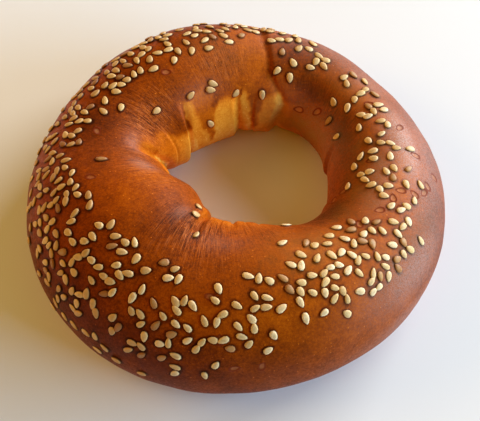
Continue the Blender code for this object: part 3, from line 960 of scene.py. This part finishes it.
class CrustSettings(bpy.types.PropertyGroup):
    """Colours of the crust: seven steps of browning, and what lies over them, the painted sheen and
    highlights among them
    """

    raw: FloatVectorProperty(
        name="Raw", description="Crust that hardly browned", default=linear("#F2B75C"), subtype="COLOR")
    straw: FloatVectorProperty(
        name="Straw", description="A little browned", default=linear("#E6962C"), subtype="COLOR")
    amber: FloatVectorProperty(
        name="Amber", description="Browned on the walls", default=linear("#D67818"), subtype="COLOR")
    russet: FloatVectorProperty(
        name="Russet", description="Lighter brown", default=linear("#BC5A08"), subtype="COLOR")
    brown: FloatVectorProperty(
        name="Brown", description="Most of the crust", default=linear("#963F04"), subtype="COLOR")
    dark: FloatVectorProperty(
        name="Dark", description="The darkest blotches", default=linear("#672604"), subtype="COLOR")
    burnt: FloatVectorProperty(
        name="Burnt", description="Lines and burnt wash", default=linear("#361305"), subtype="COLOR")
    golden: FloatVectorProperty(
        name="Golden", description="Where the oven was cooler", default=linear("#94611F"),
        subtype="COLOR")
    # Colour of the painted sheen and highlights
    bloom: FloatVectorProperty(
        name="Painted_sheen", description="Where the wash dried dull", default=linear("#BFA496"), subtype="COLOR")
    # Colour of the painted highlights on the ridges between the fine lines
    ridge: FloatVectorProperty(
        name="Ridge", description="Between the fine lines", default=linear("#CC8450"), subtype="COLOR")
    print_floor: FloatVectorProperty(
        name="Print", description="Where a seed fell off", default=linear("#BC7A4C"), subtype="COLOR")
    print_rim: FloatVectorProperty(
        name="Print's rim", description="Round such a place", default=linear("#6E260F"), subtype="COLOR")
    shine: FloatVectorProperty(
        name="Shine", description="Tint of what the wash mirrors", default=linear("#FF8C46"),
        subtype="COLOR")


class SesameSettings(bpy.types.PropertyGroup):
    """Sizes and colours of the sesame seeds"""

    length: FloatProperty(
        name="Length", description="Length of a seed", default=SEEDS_LONG, unit="LENGTH", precision=4)
    width: FloatProperty(
        name="Width", description="Width of a seed", default=SEEDS_WIDE, unit="LENGTH", precision=4)
    height: FloatProperty(
        name="Height", description="Thickness of a seed", default=1.0 * MM, unit="LENGTH", precision=4)
    narrowing: FloatProperty(
        name="Narrowing", description="How much the tip is narrower than the round end",
        default=0.24, subtype="FACTOR")
    toasted_every: IntProperty(
        name="One toasted in", description="One seed in so many is toasted golden", default=9)
    white: FloatVectorProperty(
        name="White", description="Lightest seeds", default=linear("#F3D09C"), subtype="COLOR")
    cream: FloatVectorProperty(
        name="Cream", description="Most of the seeds", default=linear("#DAAD6D"), subtype="COLOR")
    beige: FloatVectorProperty(
        name="Beige", description="Darker of the pale seeds", default=linear("#BA854A"), subtype="COLOR")
    golden: FloatVectorProperty(
        name="Golden", description="Lighter toasted seeds", default=linear("#B67E46"), subtype="COLOR")
    toasted: FloatVectorProperty(
        name="Toasted", description="Darkest toasted seeds", default=linear("#8E5226"), subtype="COLOR")
    face: FloatVectorProperty(
        name="Face", description="Stains on the flat face", default=linear("#A98A5A"), subtype="COLOR")
    # Colour at a seed's foot: caramelised wash and painted contact shade
    foot: FloatVectorProperty(
        name="Foot", description="Where a seed is set in the wash", default=linear("#55280F"),
        subtype="COLOR")


class StageSettings(bpy.types.PropertyGroup):
    """The table top, the lights and the camera"""

    floor_colour: FloatVectorProperty(
        name="Floor", description="Colour of the table top", default=linear("#E9E6E2"), subtype="COLOR")
    floor_width: FloatProperty(
        name="Floor width", description="Side of the table top", default=6.0, unit="LENGTH")
    view_elevation: FloatProperty(
        name="View elevation", description="Camera's angle above the table",
        default=math.radians(58.9), subtype="ANGLE")
    view_distance: FloatProperty(
        name="View distance", description="From the camera to the ring", default=0.35, unit="LENGTH")
    view_lens: FloatProperty(
        name="Lens", description="Focal length in millimetres, on a 36 mm sensor", default=88.9,
        unit="CAMERA")
    far_window: FloatProperty(
        name="Far window", description="Power in watts of the window light behind, on the right",
        default=22.4, unit="POWER")
    right_window: FloatProperty(
        name="Right window", description="Power in watts of the window light from the right",
        default=23.6, unit="POWER")
    sky_above: FloatProperty(
        name="Sky above", description="Power in watts of the sky over that window", default=1.1,
        unit="POWER")
    room_lamp: FloatProperty(
        name="Room lamp", description="Power in watts of the room's warm lamp, on the left",
        default=2.7, unit="POWER")
    air_strength: FloatProperty(
        name="Air", description="Strength of the warm light from all sides", default=0.29)
    air_colour: FloatVectorProperty(
        name="Air colour", description="Colour of that light", default=linear("#FFD448"),
        subtype="COLOR")


class BUBLIK_OT_crust(bpy.types.Operator):
    """Makes the crust of the ring, with its folds, wrinkles and browning"""

    bl_idname = "bublik.crust"
    bl_label = "Crust"

    def execute(self, context):
        dough = context.scene.bublik_dough
        material = egg_washed_crust(context.scene.bublik_crust)
        piece = grown("crust", crust_mesh(dough), skin_tree(), {
            "Wrinkle Height": dough.wrinkle_height, "Lump Height": dough.lump_height,
            "Lump Width": dough.lump_width, "Material": material})
        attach(piece, "root")
        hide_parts("bublik")
        return {"FINISHED"}


class BUBLIK_OT_sesame(bpy.types.Operator):
    """Sets the sesame seeds into the crust, pale ones and toasted ones"""

    bl_idname = "bublik.sesame"
    bl_label = "Sesame seeds"

    def execute(self, context):
        dough = context.scene.bublik_dough
        sesame = context.scene.bublik_sesame
        husks = {
            "sesame_pale": ("hulled_sesame", (sesame.white, sesame.cream, sesame.beige)),
            "sesame_toasted": ("toasted_sesame", (sesame.golden, sesame.toasted)),
        }
        seats = {name: [] for name in husks}
        for count, (around, across, tip) in enumerate(drawn_seeds(dough), start=1):
            name = "sesame_pale" if count % sesame.toasted_every else "sesame_toasted"
            # Painted shade: seeds darker towards the side away from the windows
            toast = 0.5 + 0.5 * math.cos(math.radians(around - SHADED_SEED_SIDE))
            seats[name].append((*seat(dough, around, across, tip), toast))

        tree = seed_tree()
        lift = sesame.height * (0.5 - SEED_SUNK)
        for number, (name, (husk, colours)) in enumerate(husks.items()):
            points, headings, _, ups, side_shades = zip(*seats[name])
            mesh = bpy.data.meshes.new(name)
            mesh.from_pydata([point + up * lift for point, up in zip(points, ups)], [], [])
            keep(mesh, "heading", headings)
            keep(mesh, "up", ups)
            # Painted shade by side, kept on the points
            keep(mesh, "toast", side_shades)
            piece = grown(name, mesh, tree, {
                "Length": sesame.length, "Width": sesame.width, "Height": sesame.height,
                "Narrowing": sesame.narrowing, "Random Seed": number,
                "Material": sesame_husk(husk, colours, sesame)})
            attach(piece, "root")
            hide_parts("bublik")
        return {"FINISHED"}


class BUBLIK_OT_stage(bpy.types.Operator):
    """Lays the table top, hangs the lights and places the camera"""

    bl_idname = "bublik.stage"
    bl_label = "Stage"

    def execute(self, context):
        stage = context.scene.bublik_stage
        half = stage.floor_width / 2
        corners = [(-half, -half, 0), (half, -half, 0), (half, half, 0), (-half, half, 0)]
        mesh = bpy.data.meshes.new("table_top")
        mesh.from_pydata(corners, [], [(0, 1, 2, 3)])
        mesh.materials.append(matt_laminate(stage.floor_colour))
        floor = bpy.data.objects.new("table_top", mesh)
        context.scene.collection.objects.link(floor)

        for name in LIGHTS:
            hang_light(name, getattr(stage, name))
        world = bpy.data.worlds.new("room_air")
        world.use_nodes = True
        air = world.node_tree.nodes["Background"]
        air.inputs["Color"].default_value = (*stage.air_colour, 1.0)
        air.inputs["Strength"].default_value = stage.air_strength
        context.scene.world = world
        context.scene.view_settings.view_transform = "Standard"

        back = Vector((0.0, -math.cos(stage.view_elevation), math.sin(stage.view_elevation)))
        camera = bpy.data.objects.new("camera", bpy.data.cameras.new("camera"))
        camera.data.lens = stage.view_lens
        camera.data.sensor_width = SENSOR_WIDTH
        camera.data.clip_start = NEAR_CLIP
        camera.location = Vector(CAMERA_AIM) + back * stage.view_distance
        camera.rotation_euler = (-back).to_track_quat("-Z", "Y").to_euler()
        context.scene.collection.objects.link(camera)
        context.scene.camera = camera
        return {"FINISHED"}


class BUBLIK_PT_panel(bpy.types.Panel):
    """Lists the sizes, the colours and the steps"""

    bl_idname = "BUBLIK_PT_panel"
    bl_label = "Bublik"
    bl_space_type = "VIEW_3D"
    bl_region_type = "UI"
    bl_category = "Bublik"

    def draw(self, context):
        for group in SETTINGS:
            settings = getattr(context.scene, group)
            box = self.layout.box()
            for name in settings.__annotations__:
                box.prop(settings, name)
        for operator in OPERATORS:
            self.layout.operator(operator.bl_idname)


OPERATORS = (BUBLIK_OT_crust, BUBLIK_OT_sesame, BUBLIK_OT_stage)
SETTINGS = {
    "bublik_dough": DoughSettings,
    "bublik_crust": CrustSettings,
    "bublik_sesame": SesameSettings,
    "bublik_stage": StageSettings,
}


def register():
    for name, group in SETTINGS.items():
        bpy.utils.register_class(group)
        setattr(bpy.types.Scene, name, PointerProperty(type=group))
    for item in OPERATORS + (BUBLIK_PT_panel,):
        bpy.utils.register_class(item)


def unregister():
    for item in (BUBLIK_PT_panel,) + OPERATORS[::-1]:
        bpy.utils.unregister_class(item)
    for name, group in SETTINGS.items():
        delattr(bpy.types.Scene, name)
        bpy.utils.unregister_class(group)


def main():
    register()
    bpy.ops.bublik.crust()
    bpy.ops.bublik.sesame()
    bpy.ops.bublik.stage()


if __name__ == "__main__":
    main()
